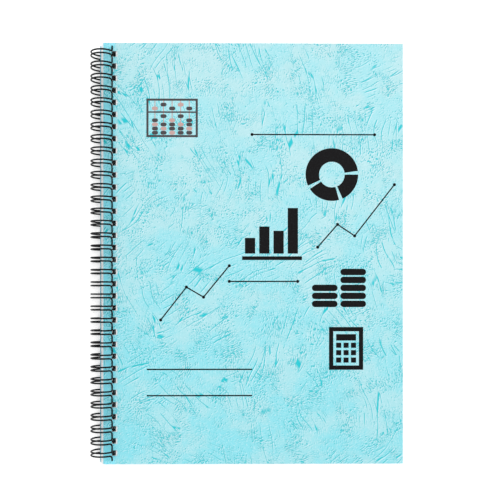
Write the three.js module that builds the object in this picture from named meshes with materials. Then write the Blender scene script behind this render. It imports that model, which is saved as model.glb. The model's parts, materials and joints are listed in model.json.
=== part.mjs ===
// A wire-bound account book, lying closed on a table with its front cover up.
// Millimetres, +Z up, +Y towards the head of the page, +X towards the fore edge.
// The origin is on the table, under the middle of the book.
import * as THREE from "three";

// Sheets: every leaf and both covers are cut to one size.
const SHEET_W = 210;
const SHEET_H = 295;
const COVER_T = 0.5;
const LEAF_T = 0.08;
const LEAVES_PER_PACK = 8;
const PACKS = 8;
const SHEET_AIR = 0.15; // under each pack of leaves, and under the front cover
const LEAF_OVERHANG = 1.1; // from the front cover's binding edge out to the upper leaves'
const BACK_OVERHANG = 2.8; // from the ring's centre out to the back cover's binding edge

// Punching: one row of square holes along the binding edge, three to the inch.
const PITCH = 25.4 / 3;
const END_MARGIN = 7.5; // least distance from a sheet's end to the middle of its last hole
const HOLE = 4;
const HOLE_MARGIN = 5.8; // from a sheet's binding edge to its holes

// Wire: one round wire, bent into a comb of narrow fingers that is closed into rings.
const WIRE_D = 1.1;
const RING_D = 16; // across the ring, from wire centre to wire centre
const FINGER_PLAY = 0.2; // from a finger's side to the side of its hole
const HOLE_PLAY = 0.5; // from the ring to the wall of a hole that is pulled against it
const EDGE_PLAY = 0.2; // from the ring to the back cover's edge inside it
const ROOT_ANGLE = 25; // degrees round the ring from the fore edge side to the root of the comb
const CLOSURE_GAP = 0.5; // from a finger's tip to the line of the root
const ROOT_BEND = 2; // size of the bend from a finger into the link beside it
const STUB = 1.6; // straight end of the wire beyond the first and the last finger

// Facets of the wire.
const WIRE_SIDES = 5;
const RING_STEPS = 10;
const TIP_STEPS = 3;

const ringR = RING_D / 2;
const wireR = WIRE_D / 2;
const fingerHalf = HOLE / 2 - FINGER_PLAY - wireR;
const packT = LEAVES_PER_PACK * LEAF_T;
const loops = Math.floor((SHEET_H - 2 * END_MARGIN) / PITCH) + 1;

// The comb is drawn flat first: a distance round the ring from its root, and a place along the spine.
const rootAngle = THREE.MathUtils.degToRad(ROOT_ANGLE);
const combReach = 2 * Math.PI * ringR - CLOSURE_GAP - WIRE_D;
const runLength = combReach - ROOT_BEND - fingerHalf;
const ringInner = ringR * Math.cos(runLength / ringR / RING_STEPS / 2) - wireR;

// The book is built about the ring's axis, so every height is above or below it.
// The back cover lies as low as its edge can go inside the ring, and the leaves lie on it.
const backBottom = -Math.sqrt((ringInner - EDGE_PLAY) ** 2 - BACK_OVERHANG ** 2);

function fingerY(index) {
  return ((loops - 1) / 2 - index) * PITCH;
}

// The underside of a pack of leaves. Pack 8 is the lowest, and the front cover lies where pack 0 would.
function packBottom(pack) {
  return backBottom + COVER_T + SHEET_AIR + (PACKS - pack) * (packT + SHEET_AIR);
}

// The binding edge of a sheet whose holes are pulled against the inside of the ring.
function pulledEdge(bottom, thickness) {
  const farthest = Math.max(Math.abs(bottom), Math.abs(bottom + thickness));
  return Math.sqrt(ringInner ** 2 - farthest ** 2) - HOLE_PLAY - HOLE_MARGIN;
}

// A punched sheet, or a pack of them, lying level with its underside at the given height.
function sheetGeometry(edge, bottom, thickness) {
  const outline = new THREE.Shape();
  outline.moveTo(edge, -SHEET_H / 2);
  outline.lineTo(edge + SHEET_W, -SHEET_H / 2);
  outline.lineTo(edge + SHEET_W, SHEET_H / 2);
  outline.lineTo(edge, SHEET_H / 2);
  outline.closePath();
  for (let i = 0; i < loops; i++) {
    const near = edge + HOLE_MARGIN;
    const low = fingerY(i) - HOLE / 2;
    const hole = new THREE.Path();
    hole.moveTo(near, low);
    hole.lineTo(near, low + HOLE);
    hole.lineTo(near + HOLE, low + HOLE);
    hole.lineTo(near + HOLE, low);
    hole.closePath();
    outline.holes.push(hole);
  }
  const geometry = new THREE.ExtrudeGeometry(outline, { depth: thickness, bevelEnabled: false });
  geometry.translate(0, 0, bottom);
  return geometry;
}

// The wire's whole route: out along one side of each finger, round its tip, and back.
function wireRoute() {
  const flat = [[0, fingerY(0) + fingerHalf + ROOT_BEND + STUB]];
  const tipCentre = combReach - fingerHalf;
  for (let i = 0; i < loops; i++) {
    const y = fingerY(i);
    flat.push([0, y + fingerHalf + ROOT_BEND]);
    for (let s = 0; s < RING_STEPS; s++) {
      flat.push([ROOT_BEND + (runLength * s) / RING_STEPS, y + fingerHalf]);
    }
    for (let s = 0; s <= TIP_STEPS; s++) {
      const turn = Math.PI * (0.5 - s / TIP_STEPS);
      flat.push([tipCentre + fingerHalf * Math.cos(turn), y + fingerHalf * Math.sin(turn)]);
    }
    for (let s = RING_STEPS - 1; s >= 0; s--) {
      flat.push([ROOT_BEND + (runLength * s) / RING_STEPS, y - fingerHalf]);
    }
    flat.push([0, y - fingerHalf - ROOT_BEND]);
  }
  flat.push([0, fingerY(loops - 1) - fingerHalf - ROOT_BEND - STUB]);
  return flat.map(([round, along]) => {
    const angle = rootAngle + round / ringR;
    return new THREE.Vector3(ringR * Math.cos(angle), along, ringR * Math.sin(angle));
  });
}

// The corners of the wire's section at one point of its route, widened where the route turns.
function wireSection(before, point, after) {
  const into = new THREE.Vector3().subVectors(point, before ?? point).normalize();
  const outOf = new THREE.Vector3().subVectors(after ?? point, point).normalize();
  const along = new THREE.Vector3().addVectors(into, outOf).normalize();
  const turn = new THREE.Vector3().subVectors(outOf, into);
  const mitre = before && after ? 2 / new THREE.Vector3().addVectors(into, outOf).length() : 1;
  const side = new THREE.Vector3(point.x, 0, point.z).cross(along).normalize();
  const outward = new THREE.Vector3().crossVectors(along, side);
  turn.normalize();
  const corners = [];
  for (let s = 0; s < WIRE_SIDES; s++) {
    const angle = (2 * Math.PI * s) / WIRE_SIDES;
    const reach = new THREE.Vector3()
      .addScaledVector(outward, wireR * Math.cos(angle))
      .addScaledVector(side, wireR * Math.sin(angle));
    reach.addScaledVector(turn, reach.dot(turn) * (mitre - 1));
    corners.push(reach.add(point));
  }
  return corners;
}

// One unbroken tube along the route, closed at both ends.
function wireGeometry(route) {
  const corners = route.flatMap((point, i) => wireSection(route[i - 1], point, route[i + 1]));
  const faces = [];
  const last = (route.length - 1) * WIRE_SIDES;
  for (let ring = 0; ring < last; ring += WIRE_SIDES) {
    for (let s = 0; s < WIRE_SIDES; s++) {
      const next = (s + 1) % WIRE_SIDES;
      faces.push(ring + s, ring + WIRE_SIDES + s, ring + next);
      faces.push(ring + next, ring + WIRE_SIDES + s, ring + WIRE_SIDES + next);
    }
  }
  for (let s = 1; s < WIRE_SIDES - 1; s++) {
    faces.push(0, s, s + 1);
    faces.push(last, last + s + 1, last + s);
  }
  const geometry = new THREE.BufferGeometry();
  geometry.setAttribute("position", new THREE.Float32BufferAttribute(corners.flatMap((c) => c.toArray()), 3));
  geometry.setIndex(faces);
  geometry.computeVertexNormals();
  return geometry;
}

// The least gap between stretches of the wire that aren't neighbours along it, measured on points.
function leastGap(route) {
  const spacing = WIRE_D / 3;
  const points = [];
  let length = 0;
  for (let i = 1; i < route.length; i++) {
    const span = route[i].distanceTo(route[i - 1]);
    const steps = Math.ceil(span / spacing);
    for (let s = 0; s < steps; s++) {
      const point = new THREE.Vector3().lerpVectors(route[i - 1], route[i], s / steps);
      points.push({ point, at: length + (span * s) / steps });
    }
    length += span;
  }
  let least = Infinity;
  points.forEach((a, i) => {
    for (let j = i + 1; j < points.length && points[j].at - a.at < 3 * combReach; j++) {
      if (points[j].at - a.at > Math.PI * fingerHalf) {
        least = Math.min(least, a.point.distanceTo(points[j].point));
      }
    }
  });
  return least - WIRE_D;
}

const coverCard = new THREE.MeshStandardMaterial({ color: 0xa3e3e8, roughness: 0.6 });
const leafPaper = new THREE.MeshStandardMaterial({ color: 0xf5f4ef, roughness: 0.9 });
const coatedWire = new THREE.MeshStandardMaterial({ color: 0x17171a, roughness: 0.35, metalness: 0.2 });

const book = new THREE.Group();

function addMesh(name, geometry, material) {
  const mesh = new THREE.Mesh(geometry, material);
  mesh.name = name;
  book.add(mesh);
}

// The upper leaves lie even, a little further out than the front cover, and the lowest follow the ring.
const frontBottom = packBottom(0);
const frontEdge = pulledEdge(frontBottom, COVER_T);
addMesh("back_cover", sheetGeometry(-BACK_OVERHANG, backBottom, COVER_T), coverCard);
for (let pack = PACKS; pack >= 1; pack--) {
  const bottom = packBottom(pack);
  const edge = Math.min(pulledEdge(bottom, packT), frontEdge - LEAF_OVERHANG);
  addMesh("leaf_pack_" + pack, sheetGeometry(edge, bottom, packT), leafPaper);
}
addMesh("front_cover", sheetGeometry(frontEdge, frontBottom, COVER_T), coverCard);

const route = wireRoute();
const wire = wireGeometry(route);
addMesh("binding_wire", wire, coatedWire);

// The ring stands lower than the back cover, so the book leans on it and on the cover's fore edge.
wire.computeBoundingBox();
const ringDrop = -wire.boundingBox.min.z + backBottom;
book.rotation.y = Math.atan2(ringDrop, SHEET_W - BACK_OVERHANG);
const size = new THREE.Box3().setFromObject(book, true);
book.position.set(-(size.min.x + size.max.x) / 2, -(size.min.y + size.max.y) / 2, -size.min.z);

console.log("least gap of the wire to itself, mm:", leastGap(route).toFixed(3));
console.log("ring axis x, z, mm:", book.position.x.toFixed(4), book.position.z.toFixed(4));
console.log("lean, degrees:", THREE.MathUtils.radToDeg(book.rotation.y).toFixed(5));

const accountBook = new THREE.Group();
accountBook.add(book);
export default accountBook;
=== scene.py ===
import json
import math
import random

import bmesh
import bpy
from mathutils import Matrix, Vector


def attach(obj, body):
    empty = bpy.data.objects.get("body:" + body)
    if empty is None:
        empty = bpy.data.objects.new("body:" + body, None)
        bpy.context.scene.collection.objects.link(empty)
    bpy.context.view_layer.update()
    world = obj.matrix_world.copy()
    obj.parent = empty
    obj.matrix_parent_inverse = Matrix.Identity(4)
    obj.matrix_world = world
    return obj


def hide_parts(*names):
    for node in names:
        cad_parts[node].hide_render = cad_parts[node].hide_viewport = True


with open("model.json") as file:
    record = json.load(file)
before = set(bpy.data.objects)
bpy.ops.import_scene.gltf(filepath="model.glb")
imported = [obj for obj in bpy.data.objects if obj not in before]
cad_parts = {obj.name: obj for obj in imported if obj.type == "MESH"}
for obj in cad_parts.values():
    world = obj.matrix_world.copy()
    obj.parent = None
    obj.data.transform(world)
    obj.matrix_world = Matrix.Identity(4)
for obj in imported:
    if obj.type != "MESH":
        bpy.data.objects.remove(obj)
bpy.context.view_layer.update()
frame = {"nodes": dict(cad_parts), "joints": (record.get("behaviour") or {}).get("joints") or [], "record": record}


# Back cover: an A4 card about half a millimetre thick, at the bottom of the stack. It is printed
# and embossed all over with a turquoise leather grain. Its bound edge stands furthest out into the
# rings, so it shows as a thin line beyond the white edges of the leaves.

# The sheets lean a little, because the closed book rests on its rings and on the back cover's fore
# edge. The book's own frame is square to them: X out from the ring's axis, Y along it towards the
# head, Z up through the sheets, in millimetres. The matrix turns that frame into the scene's.
ring_centre = Vector(frame["joints"][0]["pos_m"])
underside = frame["record"]["mounts"][0]["axis"]
lean = math.atan2(-underside[0], -underside[2])
book = Matrix.Translation(ring_centre) @ Matrix.Rotation(lean, 4, "Y") @ Matrix.Scale(0.001, 4)

# Sizes in the grain, in mm along and across its strokes. The strokes of such a print are 0.2 to
# 0.4 mm wide. They are drawn 0.6 mm wide, because finer ones don't show in the render.
FLECK = (2.9, 0.6)
PORE = (1.7, 0.6)
GLINT = (2.4, 0.8)
WRINKLE = (3.4, 1.5)
CREASE = (60, 5)
CREASE_DASH = (14, 2)

# The strokes lie side by side in patches, and these are bent out of line by a sway and a bow. Each
# kind of mark crowds and thins out over its own field. All are in mm too.
FLECK_PATCH = 16
CREASE_PATCH = 60
SWAY = (14, 14, 0)
BOW = (0, 16, 0)
FLECK_FIELD = (16, 16)
PORE_FIELD = (20, 20)
WRINKLE_FIELD = (9, 9)
CREASE_FIELD = (30, 30)
CLOUD = (34, 34)
# How far the painted highlight on each mark's lip lies from the mark.
LIP_HIGHLIGHT_SHIFT = (-0.55, 0.55, 0)
RUBBED_SPOT = (2.5, 2.5)
RUBBED_RIM = 0.7

# The fibres in the card are about 0.02 mm wide. They are drawn far coarser, so that the sheen
# breaks up a little.
CARD_FIBRE = (0.35, 0.35)
CARD_RELIEF = 0.0001  # metres


def sheet_limits(node):
    """Lowest and highest corner of a CAD sheet in the book's own frame, in mm."""
    back = book.inverted()
    corners = [back @ v.co for v in frame["nodes"][node].data.vertices]
    return [Vector([pick(c[i] for c in corners) for i in range(3)]) for pick in (min, max)]


def linear(code):
    """An sRGB hex colour as linear RGBA."""
    parts = [int(code[i : i + 2], 16) / 255 for i in (1, 3, 5)]
    return [p / 12.92 if p <= 0.04045 else ((p + 0.055) / 1.055) ** 2.4 for p in parts] + [1.0]


def add(tree, kind, inputs=(), out=0, **settings):
    """A new node with its settings, and its inputs set or linked, in order or by name.

    Gives back the output that is asked for, or all of them for None. A colour is an sRGB hex code.
    """
    node = tree.nodes.new(kind)
    for key, value in settings.items():
        setattr(node, key, value)
    for key, value in inputs.items() if isinstance(inputs, dict) else enumerate(inputs):
        socket = node.inputs[key]
        if isinstance(value, bpy.types.NodeSocket):
            tree.links.new(value, socket)
        else:
            socket.default_value = linear(value) if socket.type == "RGBA" else value
    return node.outputs[out] if len(node.outputs) and out is not None else node.outputs


def new_material(name):
    made = bpy.data.materials.new(name)
    made.use_nodes = True
    made.node_tree.nodes.clear()
    return made, made.node_tree


def surface(tree, colour, height, relief, roughness, specular_level):
    """An opaque finish with its colour, and with relief in metres where the height is 1."""
    bump = {"Height": height, "Strength": 1.0, "Distance": relief}
    inputs = {
        "Base Color": colour,
        "Roughness": roughness,
        "Specular IOR Level": specular_level,
        "Normal": add(tree, "ShaderNodeBump", bump),
    }
    shader = add(tree, "ShaderNodeBsdfPrincipled", inputs)
    add(tree, "ShaderNodeOutputMaterial", {"Surface": shader})


def place_in_book(tree):
    """The place on a piece in the book's own frame, in mm."""
    turn = Matrix.Rotation(-lean, 3, "Y")
    inputs = {
        "Vector": add(tree, "ShaderNodeTexCoord", out="Object"),
        "Location": turn @ -ring_centre * 1000,
        "Rotation": (0, -lean, 0),
        "Scale": (1000, 1000, 1000),
    }
    return add(tree, "ShaderNodeMapping", inputs, vector_type="POINT")


def fitted(tree, place, cell, offset):
    """The place on the plane, counted in cells of (along X, along Y) mm from an offset."""
    inputs = {"Vector": place, "Location": (*offset, 0), "Scale": (1 / cell[0], 1 / cell[1], 0)}
    return add(tree, "ShaderNodeMapping", inputs, vector_type="POINT")


def spots(tree, place, grain, detail=2.0, seed=0.0, roughness=0.5):
    """Soft random spots on the plane, with a grain of (along X, along Y) mm, from 0 to 1."""
    spot = fitted(tree, place, grain, (seed, seed * 0.7))
    inputs = {"Vector": spot, "Scale": 1.0, "Detail": detail, "Roughness": roughness}
    return add(tree, "ShaderNodeTexNoise", inputs, noise_dimensions="2D")


def turned_patches(tree, place, patch, seed):
    """The plane cut into ragged patches of that size in mm, each turned its own way."""
    ragged = {"Vector": place, "Scale": 3 / patch, "Detail": 3.0}
    shift = add(tree, "ShaderNodeTexNoise", ragged, "Color")
    moved = (shift, (patch / 2, patch / 2, 0), place)
    rough_place = add(tree, "ShaderNodeVectorMath", moved, operation="MULTIPLY_ADD")
    spot = fitted(tree, rough_place, (patch, patch), (seed, seed * 1.3))
    inputs = {"Vector": spot, "Scale": 1.0}
    cell = add(tree, "ShaderNodeTexVoronoi", inputs, "Color", voronoi_dimensions="2D")
    pick = add(tree, "ShaderNodeSeparateColor", {"Color": cell}, "Red")
    angle = add(tree, "ShaderNodeMath", (pick, 2.4, 0.5), operation="MULTIPLY_ADD")
    turned = {"Vector": place, "Angle": angle}
    return add(tree, "ShaderNodeVectorRotate", turned, rotation_type="Z_AXIS")


def grain_marks(tree, place, seed):
    """Where the grain is marked, from 0 to 1, and the place turned along its strokes.

    Each Map Range here reads: a value, where it starts and ends, and what those two become.
    """
    sway = {"Vector": place, "Scale": 1 / 50, "Detail": 1.0}
    sway = add(tree, "ShaderNodeTexNoise", sway, "Color")
    bent = (sway, SWAY, place)
    bent_place = add(tree, "ShaderNodeVectorMath", bent, operation="MULTIPLY_ADD")

    # Flecks: short strokes, in some places more than in others.
    turned = turned_patches(tree, bent_place, FLECK_PATCH, seed)
    strokes = spots(tree, turned, FLECK, 2.0, seed + 3, 0.6)
    crowd = (spots(tree, place, FLECK_FIELD, 3.0, seed + 11, 0.6), 0.44, 0.7, 0.75, 0.5)
    start = add(tree, "ShaderNodeMapRange", crowd, interpolation_type="SMOOTHSTEP")
    above = add(tree, "ShaderNodeMath", (strokes, start), operation="SUBTRACT")
    above = (above, 0.0, 0.05, 0.0, 0.9)
    flecks = add(tree, "ShaderNodeMapRange", above, interpolation_type="SMOOTHSTEP")

    # Pores: fields of finer dots between the flecks.
    dots = spots(tree, turned, PORE, 0.0, seed + 41)
    field = (spots(tree, place, PORE_FIELD, 2.0, seed + 47), 0.47, 0.68, 0.8, 0.6)
    start = add(tree, "ShaderNodeMapRange", field, interpolation_type="SMOOTHSTEP")
    above = add(tree, "ShaderNodeMath", (dots, start), operation="SUBTRACT")
    above = (above, 0.0, 0.05, 0.0, 0.9)
    pores = add(tree, "ShaderNodeMapRange", above, interpolation_type="SMOOTHSTEP")

    # Crackle: a faint net of fine wrinkles, broken up in places.
    net = {"Vector": fitted(tree, turned, WRINKLE, (seed, seed)), "Scale": 1.0}
    net = add(
        tree, "ShaderNodeTexVoronoi", net, voronoi_dimensions="2D", feature="DISTANCE_TO_EDGE"
    )
    net = (net, 0.03, 0.17, 1.0, 0.0)
    net = add(tree, "ShaderNodeMapRange", net, interpolation_type="SMOOTHSTEP")
    wrinkled = (spots(tree, place, WRINKLE_FIELD, 3.0, seed + 67, 0.65), 0.48, 0.66, 0.0, 0.5)
    wrinkled = add(tree, "ShaderNodeMapRange", wrinkled, interpolation_type="SMOOTHSTEP")
    crackle = add(tree, "ShaderNodeMath", (net, wrinkled), operation="MULTIPLY")

    # Creases: long hairs side by side, which are the borders of stretched cells.
    swept = turned_patches(tree, bent_place, CREASE_PATCH, seed + 20)
    bow = {"Vector": swept, "Scale": 1 / 40, "Detail": 1.0}
    bow = add(tree, "ShaderNodeTexNoise", bow, "Color")
    bowed = (bow, BOW, swept)
    bowed_place = add(tree, "ShaderNodeVectorMath", bowed, operation="MULTIPLY_ADD")
    hairs = {"Vector": fitted(tree, bowed_place, CREASE, (seed, seed)), "Scale": 1.0}
    hairs = add(
        tree, "ShaderNodeTexVoronoi", hairs, voronoi_dimensions="2D", feature="DISTANCE_TO_EDGE"
    )
    hairs = (hairs, 0.015, 0.06, 1.0, 0.0)
    hairs = add(tree, "ShaderNodeMapRange", hairs, interpolation_type="SMOOTHSTEP")
    dashed = (spots(tree, bowed_place, CREASE_DASH, 2.0, seed + 27), 0.4, 0.5)
    dashed = add(tree, "ShaderNodeMapRange", dashed, interpolation_type="SMOOTHSTEP")
    kept = (spots(tree, place, CREASE_FIELD, 1.0, seed + 31), 0.47, 0.54)
    kept = add(tree, "ShaderNodeMapRange", kept, interpolation_type="SMOOTHSTEP")
    kept = add(tree, "ShaderNodeMath", (kept, dashed), operation="MULTIPLY")
    creases = add(tree, "ShaderNodeMath", (hairs, kept), operation="MULTIPLY")

    marks = flecks
    for more in (creases, crackle, pores):
        marks = add(tree, "ShaderNodeMath", (marks, more), operation="MAXIMUM")
    return marks, turned


def grain_card(name, node, seed):
    """Coated card, offset printed, embossed and varnished matt, for one of the covers.

    The eye gets turquoise marks, each with a painted highlight on its lip, on a paler ground, and a soft sheen.
    """
    made, tree = new_material(name)
    place = place_in_book(tree)
    part = add(tree, "ShaderNodeSeparateXYZ", {"Vector": place}, None)
    marks, turned = grain_marks(tree, place, seed)

    # Ground: one shade after the other is laid over the colour of the foot.
    slant = (part["X"], 0.35, part["Y"])
    slant = add(tree, "ShaderNodeMath", slant, operation="MULTIPLY_ADD")
    cloud = spots(tree, place, CLOUD, 3.0, seed + 61, 0.6)
    glint = spots(tree, turned, GLINT, 1.0, seed + 53)
    ground = "#81d9e3"
    for shade, code in (
        ((slant, -150, 180), "#aadde1"),  # paler towards the head and the fore edge: partly the print's own drift, partly painted fall-off of light
        ((cloud, 0.38, 0.66, 0.0, 0.5), "#bbdfe5"),  # pale clouds
        ((cloud, 0.62, 0.36, 0.0, 0.35), "#8ddcea"),  # deeper clouds
        ((glint, 0.56, 0.72, 0.0, 0.4), "#cdeaf2"),  # small painted glints: pale highlights in the grain
        ((part["X"], 7.5, 10.5, 0.6, 0.0), "#76eaff"),  # painted shade and reflection of the wire: deeper, brighter cyan between the wire and the edge
    ):
        share = add(tree, "ShaderNodeMapRange", shade, interpolation_type="SMOOTHSTEP")
        ground = add(tree, "ShaderNodeMix", {0: share, 6: ground, 7: code}, 2, data_type="RGBA")

    # A pale copy of the marks, a little below and to the right of them, is a painted highlight on the lip of each
    # one.
    lip_highlight_place = add(tree, "ShaderNodeVectorMath", (place, LIP_HIGHLIGHT_SHIFT), operation="ADD")
    painted_lip_highlight, _ = grain_marks(tree, lip_highlight_place, seed)
    painted_lip_highlight = add(tree, "ShaderNodeMath", (painted_lip_highlight, 0.45), operation="MULTIPLY")
    ground = add(tree, "ShaderNodeMix", {0: painted_lip_highlight, 6: ground, 7: "#ecf3fb"}, 2, data_type="RGBA")
    colour = {0: marks, 6: ground, 7: "#04c0cb"}
    colour = add(tree, "ShaderNodeMix", colour, 2, data_type="RGBA")

    # The back cover's edge that stands out between the rings is painted darker: painted shade from the leaves over
    # it.
    painted_shade_rim = (part["X"], -1.6, -2.1, 0.0, 0.75)
    painted_shade_rim = add(tree, "ShaderNodeMapRange", painted_shade_rim, interpolation_type="SMOOTHSTEP")
    colour = {0: painted_shade_rim, 6: colour, 7: "#2f9fb8"}
    colour = add(tree, "ShaderNodeMix", colour, 2, data_type="RGBA")

    # Rubbing: the print is thinner in spots along the edges that are handled.
    far_corner = sheet_limits(node)[1]
    along = add(tree, "ShaderNodeMath", (part["Y"],), operation="ABSOLUTE")
    past_end = add(tree, "ShaderNodeMath", (along, far_corner.y), operation="SUBTRACT")
    past_fore = add(tree, "ShaderNodeMath", (part["X"], far_corner.x), operation="SUBTRACT")
    nearest = add(tree, "ShaderNodeMath", (past_end, past_fore), operation="MAXIMUM")
    reach = (spots(tree, place, RUBBED_SPOT, 3.0, seed + 83), 0.35, 0.68, 0.0, -RUBBED_RIM)
    reach = add(tree, "ShaderNodeMapRange", reach, interpolation_type="SMOOTHSTEP")
    rubbed = add(tree, "ShaderNodeMath", (nearest, reach), operation="SUBTRACT")
    rubbed = (rubbed, 0.0, 0.35, 0.0, 0.4)
    rubbed = add(tree, "ShaderNodeMapRange", rubbed, interpolation_type="SMOOTHSTEP")
    colour = {0: rubbed, 6: colour, 7: "#dcf0f2"}
    colour = add(tree, "ShaderNodeMix", colour, 2, data_type="RGBA")

    fibres = spots(tree, place, CARD_FIBRE, 2.0, seed + 71)
    rough = (fibres, 0.3, 0.7, 0.5, 0.62)
    rough = add(tree, "ShaderNodeMapRange", rough, interpolation_type="SMOOTHSTEP")
    fibres = add(tree, "ShaderNodeMath", (fibres, 0.25), operation="MULTIPLY")
    height = add(tree, "ShaderNodeMath", (marks, -0.7, fibres), operation="MULTIPLY_ADD")
    surface(tree, colour, height, CARD_RELIEF, rough, 0.4)
    return made


back_cover = frame["nodes"]["back_cover"]
back_cover.data.materials.clear()
back_cover.data.materials.append(grain_card("turquoise_grain_card_back", "back_cover", 130.0))


# Leaves: sixty-four ruled leaves of white paper, punched like the covers. The CAD holds them as
# eight packs, and here each leaf of a pack is a sheet of its own, laid a hair out of line with the
# next.
PACKS = 8
LEAVES = 8  # in each pack
LEAF_THICKNESS = 0.072  # mm, and the rest of a leaf's share of its pack is air

# The ruling, in mm in the book's own frame. Each line has its place and half its width.
RULED_FROM = (18, -126)
RULED_TO = (202, 112)
ROW_STEP = 8
ROW_HALF = 0.13
HEADING_LINE = (112.8, 0.2)
COLUMN_LINES = ((18, 0.25), (38, 0.14), (98, 0.14), (130, 0.2), (162, 0.2), (202, 0.25))

# Paper fibres are about 0.03 mm wide. They are drawn far coarser, as a faint unevenness.
PAPER_FIBRE = (0.5, 0.3)
PAPER_RELIEF = 0.00002  # metres


def ledger_paper():
    """Uncoated paper with a printed ruling: white, quite matt, and hardly uneven to the eye."""
    made, tree = new_material("ruled_white_paper")
    place = place_in_book(tree)
    part = add(tree, "ShaderNodeSeparateXYZ", {"Vector": place}, None)
    across, along = part["X"], part["Y"]

    within = []
    for value, start, end in zip((across, along), RULED_FROM, RULED_TO):
        span = (value, (start + end) / 2, (end - start) / 2)
        within.append(add(tree, "ShaderNodeMath", span, operation="COMPARE"))
    in_width, in_height = within

    # Rows: the distance from the nearest row says where the lines are. One line is over them.
    above_first = add(tree, "ShaderNodeMath", (along, -RULED_FROM[1]), operation="ADD")
    from_row = add(tree, "ShaderNodeMath", (above_first, ROW_STEP / 2), operation="PINGPONG")
    rows = add(tree, "ShaderNodeMath", (from_row, ROW_HALF), operation="LESS_THAN")
    rows = add(tree, "ShaderNodeMath", (rows, in_height), operation="MULTIPLY")
    heading = add(tree, "ShaderNodeMath", (along, *HEADING_LINE), operation="COMPARE")
    rows = add(tree, "ShaderNodeMath", (rows, heading), operation="MAXIMUM")
    ruled = add(tree, "ShaderNodeMath", (rows, in_width), operation="MULTIPLY")
    for line in COLUMN_LINES:
        column = add(tree, "ShaderNodeMath", (across, *line), operation="COMPARE")
        column = add(tree, "ShaderNodeMath", (column, in_height), operation="MULTIPLY")
        ruled = add(tree, "ShaderNodeMath", (ruled, column), operation="MAXIMUM")
    face = add(tree, "ShaderNodeAttribute", out="Fac", attribute_name="printed")
    ruled = add(tree, "ShaderNodeMath", (ruled, face), operation="MULTIPLY")
    ruled = add(tree, "ShaderNodeMath", (ruled, 0.95), operation="MULTIPLY")

    tint = (spots(tree, place, (26, 26), 3.0, 7.0), 0.3, 0.7)
    tint = add(tree, "ShaderNodeMapRange", tint, interpolation_type="SMOOTHSTEP")
    paper = {0: tint, 6: "#f6f6f7", 7: "#f2f3f3"}
    paper = add(tree, "ShaderNodeMix", paper, 2, data_type="RGBA")
    colour = {0: ruled, 6: paper, 7: "#2385a0"}
    colour = add(tree, "ShaderNodeMix", colour, 2, data_type="RGBA")
    fibres = spots(tree, place, PAPER_FIBRE, 2.0, 9.0)
    surface(tree, colour, fibres, PAPER_RELIEF, 0.88, 0.25)
    return made


def leaf_stack_tree(paper):
    """Leaves laid on each other: one leaf repeated upwards, each shifted at random."""
    tree = bpy.data.node_groups.new("leaf_stack", "GeometryNodeTree")
    face = tree.interface
    face.new_socket("Leaf", in_out="INPUT", socket_type="NodeSocketGeometry")
    for name, kind, value in (
        ("Leaves", "NodeSocketInt", LEAVES),
        ("Step", "NodeSocketVector", (0, 0, 0.00008)),
        ("Shift", "NodeSocketVector", (0.0001, 0.0002, 0)),
        ("Seed", "NodeSocketInt", 0),
    ):
        face.new_socket(name, in_out="INPUT", socket_type=kind).default_value = value
    face.new_socket("Stack", in_out="OUTPUT", socket_type="NodeSocketGeometry")
    given = add(tree, "NodeGroupInput", out=None)
    line = {"Count": given["Leaves"], "Offset": given["Step"]}
    line = add(tree, "GeometryNodeMeshLine", line, mode="OFFSET")
    back = {0: given["Shift"], "Scale": -1.0}
    back = add(tree, "ShaderNodeVectorMath", back, operation="SCALE")
    spread = {0: back, 1: given["Shift"], "Seed": given["Seed"]}
    spread = add(tree, "FunctionNodeRandomValue", spread, data_type="FLOAT_VECTOR")
    moved = add(tree, "GeometryNodeSetPosition", {"Geometry": line, "Offset": spread})
    laid = {"Points": moved, "Instance": given["Leaf"]}
    laid = add(tree, "GeometryNodeInstanceOnPoints", laid)
    real = add(tree, "GeometryNodeRealizeInstances", {"Geometry": laid})

    # The faces that lie flat carry the ruling, and the cut edges don't.
    normal = add(tree, "GeometryNodeInputNormal")
    upright = add(tree, "ShaderNodeSeparateXYZ", {"Vector": normal}, "Z")
    upright = add(tree, "ShaderNodeMath", (upright,), operation="ABSOLUTE")
    lies_flat = add(tree, "ShaderNodeMath", (upright, 0.5), operation="GREATER_THAN")
    marked = {"Geometry": real, "Name": "printed", "Value": lies_flat}
    marked = add(
        tree, "GeometryNodeStoreNamedAttribute", marked, data_type="FLOAT", domain="FACE"
    )
    painted = add(tree, "GeometryNodeSetMaterial", {"Geometry": marked, "Material": paper})
    add(tree, "NodeGroupOutput", {"Stack": painted})
    return tree


def made_plain(source, name, tree, **inputs):
    """The result of a Geometry Nodes tree on the source object, as a plain mesh object."""
    modifier = source.modifiers.new("nodes", "NODES")
    modifier.node_group = tree
    for item in tree.interface.items_tree:
        if item.in_out == "INPUT" and item.name in inputs:
            modifier[item.identifier] = inputs[item.name]
    graph = bpy.context.evaluated_depsgraph_get()
    mesh = bpy.data.meshes.new_from_object(source.evaluated_get(graph))
    source.modifiers.remove(modifier)
    bpy.data.objects.remove(source)
    mesh.name = name
    made = bpy.data.objects.new(name, mesh)
    bpy.context.collection.objects.link(made)
    return made


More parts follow.
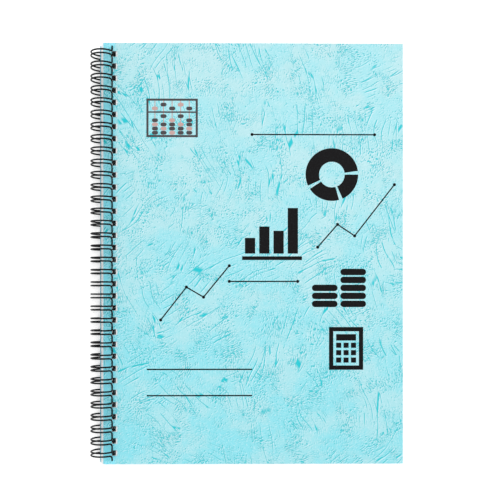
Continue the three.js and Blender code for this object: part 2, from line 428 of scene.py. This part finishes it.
leaf_tree = leaf_stack_tree(ledger_paper())
for number in range(PACKS, 0, -1):
    node = f"leaf_pack_{number}"
    lowest, highest = sheet_limits(node)
    one = bpy.data.objects.new("one_leaf", frame["nodes"][node].data.copy())
    bpy.context.collection.objects.link(one)

    # The pack's own outline and holes, brought down to the thickness of one leaf.
    sheet = bmesh.new()
    sheet.from_mesh(one.data)
    sheet.transform(book.inverted())
    bmesh.ops.remove_doubles(sheet, verts=sheet.verts, dist=0.001)
    for v in sheet.verts:
        is_top = v.co.z > (lowest.z + highest.z) / 2
        v.co.z = lowest.z + (LEAF_THICKNESS if is_top else 0.0)
    sheet.transform(book)
    bmesh.ops.recalc_face_normals(sheet, faces=sheet.faces)
    sheet.to_mesh(one.data)
    sheet.free()
    up = book.to_3x3() @ Vector((0, 0, (highest.z - lowest.z) / LEAVES))
    leaves = made_plain(one, f"leaves_{number}", leaf_tree, Leaves=LEAVES, Step=up, Seed=number)
    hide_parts(node)
    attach(leaves, node)


# Front cover: the same card as the back, at the top of the stack and pulled a little in by the
# ring. Its square holes show the white leaves below on their right, and the wire on their left.
front_cover = frame["nodes"]["front_cover"]
front_cover.data.materials.clear()
front_cover.data.materials.append(grain_card("turquoise_grain_card_front", "front_cover", 40.0))


# Print on the front cover: flat offset ink. Bold black account signs stand in the middle, with fine
# black lines and dots, a small drawing in grey and buff at the top left, and two rules to write on.

# Places in the print are in mm from the card's lower left corner, along X and Y.
front_low, front_high = sheet_limits("front_cover")
INK_GAP = 0.005  # mm between the card and the ink, so that the faces don't lie in one plane
INK_THICKNESS = 0.02  # mm, thicker than real ink, which is about 0.002


def ink_material(name, code):
    """Offset ink dried into the card: an even, deep colour with hardly any shine of its own."""
    made, tree = new_material(name)
    place = place_in_book(tree)
    body = spots(tree, place, (1.2, 1.2), 2.0, 5.0)
    thin = (body, 0.35, 0.75, 0.0, 0.02)
    thin = add(tree, "ShaderNodeMapRange", thin, interpolation_type="SMOOTHSTEP")
    colour = {0: thin, 6: code, 7: "#8a9698"}
    colour = add(tree, "ShaderNodeMix", colour, 2, data_type="RGBA")
    rough = (body, 0.3, 0.7, 0.42, 0.55)
    rough = add(tree, "ShaderNodeMapRange", rough, interpolation_type="SMOOTHSTEP")
    surface(tree, colour, body, 0.00001, rough, 0.06)
    return made


def printed(name, outlines, ink):
    """Closed outlines of points on the front cover, as flat ink that rides on it."""
    shape = bmesh.new()
    bottom = front_high.z + INK_GAP
    for outline in outlines:
        corners = [Vector((front_low.x + u, front_low.y + v, bottom)) for u, v in outline]
        face = shape.faces.new([shape.verts.new(corner) for corner in corners])
        raised = bmesh.ops.extrude_face_region(shape, geom=[face])["geom"]
        for v in raised:
            if isinstance(v, bmesh.types.BMVert):
                v.co.z += INK_THICKNESS
    shape.transform(book)
    bmesh.ops.recalc_face_normals(shape, faces=shape.faces)
    mesh = bpy.data.meshes.new(name)
    shape.to_mesh(mesh)
    shape.free()
    mesh.materials.append(ink)
    made = bpy.data.objects.new(name, mesh)
    bpy.context.collection.objects.link(made)
    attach(made, "front_cover")


def arc(middle, radius, start, end, steps):
    """Points round an arc, with its angles in degrees."""
    angles = [math.radians(start + (end - start) * s / steps) for s in range(steps + 1)]
    return [
        (middle[0] + radius * math.cos(angle), middle[1] + radius * math.sin(angle))
        for angle in angles
    ]


def block(u, v, width, height):
    """A plain rectangle from its lower left corner."""
    return [(u, v), (u + width, v), (u + width, v + height), (u, v + height)]


def rounded_block(u, v, width, height, radius):
    """A rectangle with round corners, from its lower left corner."""
    right = u + width - radius
    top = v + height - radius
    points = []
    for middle, start in (
        ((right, v + radius), -90),
        ((right, top), 0),
        ((u + radius, top), 90),
        ((u + radius, v + radius), 180),
    ):
        points += arc(middle, radius, start, start + 90, 6)
    return points


def sector(middle, inner, outer, start, end):
    """A share of a ring, with a corner about every 6 degrees."""
    steps = max(4, int((end - start) / 6))
    return arc(middle, outer, start, end, steps) + arc(middle, inner, end, start, steps)


def stroke(start, end, width):
    """One outline round a straight line."""
    along = (end - start).normalized()
    side = Vector((-along.y, along.x)) * width / 2
    return [start + side, end + side, end - side, start - side]


def dotted_line(points, width=0.9, dot=1.1):
    """A fine line with a dot on each of its points, cut clear of the dots."""
    outlines = [arc(point, dot, 0, 345, 23) for point in points]
    places = [Vector(point) for point in points]
    for start, end in zip(places, places[1:]):
        clear = (end - start).normalized() * dot
        outlines.append(stroke(start + clear, end - clear, width))
    return outlines


black = ink_material("black_ink", "#0c0a0c")
grey = ink_material("grey_ink", "#4b484a")
buff = ink_material("buff_ink", "#c3a19c")

# A ring chart in three shares.
shares = ((8, 205), (213, 286), (294, 360))
printed("print_ring_chart", [sector((160, 203), 9, 18.5, *share) for share in shares], black)

# Four bars on a base.
bars = [block(97, 143, 42, 2.6)]
bars += [block(99 + 10 * i, 147.5, 7.2, height) for i, height in enumerate((11, 19, 16, 32))]
printed("print_bar_chart", bars, black)

# Two piles of coins.
coins = []
for column, count in enumerate((3, 5)):
    coins += [rounded_block(146 + 20 * column, 110 + 5.6 * i, 18, 4.5, 2.2) for i in range(count)]
printed("print_coin_piles", coins, black)

# A reckoner with a window and nine keys.
keys = [
    block(158, 66, 24, 3),
    block(158, 93, 24, 3),
    block(158, 69, 3, 24),
    block(179, 69, 3, 24),
    block(163, 86.5, 14, 4.5),
]
keys += [block(163 + 5.2 * i, 71 + 5.2 * j, 3.6, 3.6) for i in range(3) for j in range(3)]
printed("print_reckoner", keys, black)

# Fine lines: two graphs that climb to the right, and a rule over and under the signs.
lines = dotted_line([(40, 101), (58, 124), (70, 117), (88, 139)])
lines += dotted_line([(150, 152), (164, 168), (176, 160), (204, 196)])
lines += dotted_line([(104, 231), (190, 231)])
lines += dotted_line([(88, 128), (136, 128)])
printed("print_graph_lines", lines, black)

# A small counting frame: grey rails and posts, buff rods, and beads in both colours. Each of its
# five rods has one bead over the crossbar and four under it, and every other rod is set to a count.
LEFT = 30
BOTTOM = 229
WIDE = 36
TALL = 27
RAIL = 1.5
BAR_LOW = BOTTOM + 17
BAR_HIGH = BAR_LOW + 1.1
BEAD_WIDTH = 4.2
BEAD_HEIGHT = 2.6
BEAD_STEP = 2.9
ROD = 0.6
RODS = 5
posts = [
    block(LEFT, BOTTOM, WIDE, RAIL),
    block(LEFT, BOTTOM + TALL - RAIL, WIDE, RAIL),
    block(LEFT, BOTTOM + RAIL, RAIL, TALL - 2 * RAIL),
    block(LEFT + WIDE - RAIL, BOTTOM + RAIL, RAIL, TALL - 2 * RAIL),
    block(LEFT + RAIL, BAR_LOW, WIDE - 2 * RAIL, BAR_HIGH - BAR_LOW),
]
rods = []
dark_beads = []
light_beads = []
for i in range(RODS):
    middle = LEFT + WIDE * (i + 1) / (RODS + 1)
    is_set = i % 2 == 1
    beads = [BOTTOM + 18.6 + (BEAD_STEP if is_set else 0.2)]
    beads += [BOTTOM + 1.8 + BEAD_STEP * j for j in range(4)]
    if is_set:
        beads[-1] += BEAD_STEP
    for j, v in enumerate(beads):
        bead = rounded_block(middle - BEAD_WIDTH / 2, v, BEAD_WIDTH, BEAD_HEIGHT, 1.2)
        (light_beads if (i + j) % 3 == 0 else dark_beads).append(bead)

    # The rod shows between its beads, and isn't drawn over the crossbar.
    beads.sort()
    starts = [BOTTOM + RAIL] + [v + BEAD_HEIGHT for v in beads]
    ends = beads + [BOTTOM + TALL - RAIL]
    for start, end in zip(starts, ends):
        for v0, v1 in ((start, min(end, BAR_LOW)), (max(start, BAR_HIGH), end)):
            if v1 - v0 > 0.15:
                rods.append(block(middle - ROD / 2, v0, ROD, v1 - v0))
printed("print_counting_frame", posts, grey)
printed("print_counting_rods", rods, buff)
printed("print_dark_beads", dark_beads, grey)
printed("print_light_beads", light_beads, buff)

# Two rules to write on.
printed("print_writing_rules", [block(30.3, v, 73.8, 0.95) for v in (47.5, 65.9)], black)


# Binding wire: one round steel wire with a black nylon coat, bent into a comb of narrow fingers,
# three to the inch. The fingers go round through the holes, and their tips close against the comb's
# root over the front cover. The wire is one unbroken length, with a cut end beyond each end finger.

# Sizes of the wire, in mm.
WIRE_D = 1.16
RING_R = 7.96  # to the middle of the wire
PITCH = 25.4 / 3
LOOPS = 34
FINGER_HALF = 1.25  # from a finger's middle to the middle of the wire on each side
TIGHT_BEND = 1.4  # the bend from the root into a finger
WIDE_BEND = 2.6  # the bend from a finger back into the root
END_RUN = 3.6  # from the side of an end finger to the cut end of the wire
ROOT = math.radians(25)  # how far round the ring the root stands
CLOSURE = 0.5  # between the fingers' tips and the root
RUN_STEPS = 48  # points along the side of a finger

# The comb is drawn flat first: a distance round the ring from the root, and a place along the
# spine. No finger is bent quite like the next.
reach = 2 * math.pi * RING_R - CLOSURE - WIRE_D
wire_end = PITCH * (LOOPS - 1) / 2 + FINGER_HALF + END_RUN
quarter = [math.pi / 20 * s for s in range(11)]
half_turn = [math.pi / 14 * s for s in range(15)]
random.seed(12)
flat = [(0.0, wire_end)]
for i in range(LOOPS):
    y = ((LOOPS - 1) / 2 - i) * PITCH + random.uniform(-0.06, 0.06)
    tip = reach + random.uniform(-0.12, 0.08) - FINGER_HALF
    upper = y + FINGER_HALF
    under = y - FINGER_HALF
    for t in quarter:
        out = TIGHT_BEND - TIGHT_BEND * math.cos(t)
        flat.append((out, upper + TIGHT_BEND - TIGHT_BEND * math.sin(t)))
    for s in range(1, RUN_STEPS):
        flat.append((TIGHT_BEND + (tip - TIGHT_BEND) * s / RUN_STEPS, upper))
    for t in half_turn:
        flat.append((tip + FINGER_HALF * math.sin(t), y + FINGER_HALF * math.cos(t)))
    for s in range(RUN_STEPS - 1, 0, -1):
        flat.append((WIDE_BEND + (tip - WIDE_BEND) * s / RUN_STEPS, under))
    for t in quarter:
        out = WIDE_BEND - WIDE_BEND * math.sin(t)
        flat.append((out, under - WIDE_BEND + WIDE_BEND * math.cos(t)))
flat.append((0.0, -wire_end))

route = bpy.data.curves.new("wire_route", "CURVE")
route.dimensions = "3D"
spline = route.splines.new("POLY")
spline.points.add(len(flat) - 1)
for point, (round_ring, y) in zip(spline.points, flat):
    angle = ROOT + round_ring / RING_R
    place = book @ Vector((RING_R * math.cos(angle), y, RING_R * math.sin(angle)))
    point.co = (*place, 1.0)
route_object = bpy.data.objects.new("wire_route", route)
bpy.context.collection.objects.link(route_object)


def coated_wire():
    """Nylon powder melted on to steel wire: deep black with a soft, slightly uneven sheen.

    The unevenness of such a coat is 0.1 to 0.3 mm across. It is drawn 0.3 mm across.
    """
    made, tree = new_material("black_nylon_coated_steel")
    place = place_in_book(tree)
    skin = add(tree, "ShaderNodeTexNoise", {"Vector": place, "Scale": 3.0, "Detail": 3.0})
    worn = add(tree, "ShaderNodeTexNoise", {"Vector": place, "Scale": 0.4, "Detail": 2.0})
    worn = (worn, 0.5, 0.75, 0.0, 0.5)
    worn = add(tree, "ShaderNodeMapRange", worn, interpolation_type="SMOOTHSTEP")
    colour = {0: worn, 6: "#09090b", 7: "#161619"}
    colour = add(tree, "ShaderNodeMix", colour, 2, data_type="RGBA")
    rough = (skin, 0.3, 0.7, 0.34, 0.48)
    rough = add(tree, "ShaderNodeMapRange", rough, interpolation_type="SMOOTHSTEP")
    surface(tree, colour, skin, 0.00001, rough, 0.15)
    return made


def wire_tree(coat):
    """A round wire that follows the curve, with flat cut ends."""
    tree = bpy.data.node_groups.new("bent_wire", "GeometryNodeTree")
    face = tree.interface
    face.new_socket("Route", in_out="INPUT", socket_type="NodeSocketGeometry")
    for name, kind, value in (
        ("Radius", "NodeSocketFloat", 0.00045),
        ("Sides", "NodeSocketInt", 10),
    ):
        face.new_socket(name, in_out="INPUT", socket_type=kind).default_value = value
    face.new_socket("Wire", in_out="OUTPUT", socket_type="NodeSocketGeometry")
    given = add(tree, "NodeGroupInput", out=None)
    section = {"Resolution": given["Sides"], "Radius": given["Radius"]}
    section = add(tree, "GeometryNodeCurvePrimitiveCircle", section)
    swept = {"Curve": given["Route"], "Profile Curve": section, "Fill Caps": True}
    swept = add(tree, "GeometryNodeCurveToMesh", swept)
    smooth = add(tree, "GeometryNodeSetShadeSmooth", {"Geometry": swept})
    real = add(tree, "GeometryNodeRealizeInstances", {"Geometry": smooth})
    painted = add(tree, "GeometryNodeSetMaterial", {"Geometry": real, "Material": coat})
    add(tree, "NodeGroupOutput", {"Wire": painted})
    return tree


bent_wire = wire_tree(coated_wire())
wire = made_plain(route_object, "coated_wire", bent_wire, Radius=WIRE_D / 2000, Sides=10)
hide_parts("binding_wire")
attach(wire, "binding_wire")


# Floor, light and camera: a plain white table top under soft studio light from above, and a camera
# straight over the book.
TABLE_HALF = 4  # metres
TABLE_LIFT = 0.3  # white added where the table is seen, and not to the light on the book
ROOM_LIGHT = 0.68  # how strongly the room lights the book, while it is seen as white


def seen_as_background(tree):
    """1 for a ray from the camera, off gloss or through glass, and 0 for a ray that only lights."""
    path = add(tree, "ShaderNodeLightPath", out=None)
    seen = path["Is Camera Ray"]
    for other in ("Is Glossy Ray", "Is Transmission Ray"):
        seen = add(tree, "ShaderNodeMath", (seen, path[other]), operation="MAXIMUM")
    return seen


def table_top():
    """White matt laminate. It keeps the book's shadow, and further away it is plain white."""
    made, tree = new_material("white_table_top")
    base = {"Base Color": "#f6f6f6", "Roughness": 0.9, "Specular IOR Level": 0.0}
    base = add(tree, "ShaderNodeBsdfPrincipled", base)
    seen = seen_as_background(tree)
    lifted = add(tree, "ShaderNodeMath", (seen, TABLE_LIFT), operation="MULTIPLY")
    lift = add(tree, "ShaderNodeEmission", {"Color": "#ffffff", "Strength": lifted})
    near = add(tree, "ShaderNodeAddShader", (base, lift))
    place = add(tree, "ShaderNodeTexCoord", out="Object")
    away = add(tree, "ShaderNodeVectorMath", (place,), "Value", operation="LENGTH")
    far = add(tree, "ShaderNodeMapRange", (away, 0.25, 0.6), interpolation_type="SMOOTHSTEP")
    far = add(tree, "ShaderNodeMath", (far, seen), operation="MULTIPLY")
    white = add(tree, "ShaderNodeEmission", {"Color": "#ffffff", "Strength": 1.0})
    both = add(tree, "ShaderNodeMixShader", (far, near, white))
    add(tree, "ShaderNodeOutputMaterial", {"Surface": both})
    return made


floor_mesh = bpy.data.meshes.new("table_top")
corners = [(-TABLE_HALF, -TABLE_HALF, 0), (TABLE_HALF, -TABLE_HALF, 0)]
corners += [(TABLE_HALF, TABLE_HALF, 0), (-TABLE_HALF, TABLE_HALF, 0)]
floor_mesh.from_pydata(corners, [], [(0, 1, 2, 3)])
floor_mesh.materials.append(table_top())
table = bpy.data.objects.new("table_top", floor_mesh)
bpy.context.collection.objects.link(table)

world = bpy.data.worlds.new("studio")
bpy.context.scene.world = world
world.use_nodes = True
sky = world.node_tree
sky.nodes.clear()
level = (seen_as_background(sky), 1 - ROOM_LIGHT, ROOM_LIGHT)
level = add(sky, "ShaderNodeMath", level, operation="MULTIPLY_ADD")
background = add(sky, "ShaderNodeBackground", {"Color": "#ffffff", "Strength": level})
add(sky, "ShaderNodeOutputWorld", {"Surface": background})

for name, place, width, power in (
    ("soft_box", (0.35, 0.45, 1.2), 1.0, 7.4),
    ("fill_box", (-0.6, -0.5, 1.0), 0.9, 2.6),
):
    lamp = bpy.data.lights.new(name, "AREA")
    lamp.shape = "SQUARE"
    lamp.size = width
    lamp.energy = power
    lamp_object = bpy.data.objects.new(name, lamp)
    lamp_object.location = place
    lamp_object.rotation_euler = (-Vector(place)).to_track_quat("-Z", "Y").to_euler()
    bpy.context.collection.objects.link(lamp_object)

# The camera's distance gives the rings their slant in the picture. It stands a little towards the
# foot of the book, and the shift brings the book back to the middle.
PICTURE = 500  # pixels
SENSOR = 36
COVER_DISTANCE = 0.52
MM_PER_PIXEL = 295 / 420.8
FOOTWARD = 45  # pixels
ASIDE = Vector((-3.5, 3.6, 0))  # pixels, from the middle of the cover to the middle of the picture
camera = bpy.data.cameras.new("camera")
camera.sensor_width = SENSOR
camera.lens = SENSOR * COVER_DISTANCE / (PICTURE * MM_PER_PIXEL / 1000)
camera.shift_y = FOOTWARD / PICTURE
camera.clip_start = 0.01
camera.clip_end = 10
camera_object = bpy.data.objects.new("camera", camera)
cover_middle = book @ Vector(((front_low.x + front_high.x) / 2, 0, front_high.z))
offset = ASIDE - Vector((0, FOOTWARD, 0))
camera_object.location = cover_middle + offset * MM_PER_PIXEL / 1000
camera_object.location.z += COVER_DISTANCE
bpy.context.collection.objects.link(camera_object)
bpy.context.scene.camera = camera_object
bpy.context.scene.view_settings.view_transform = "Standard"
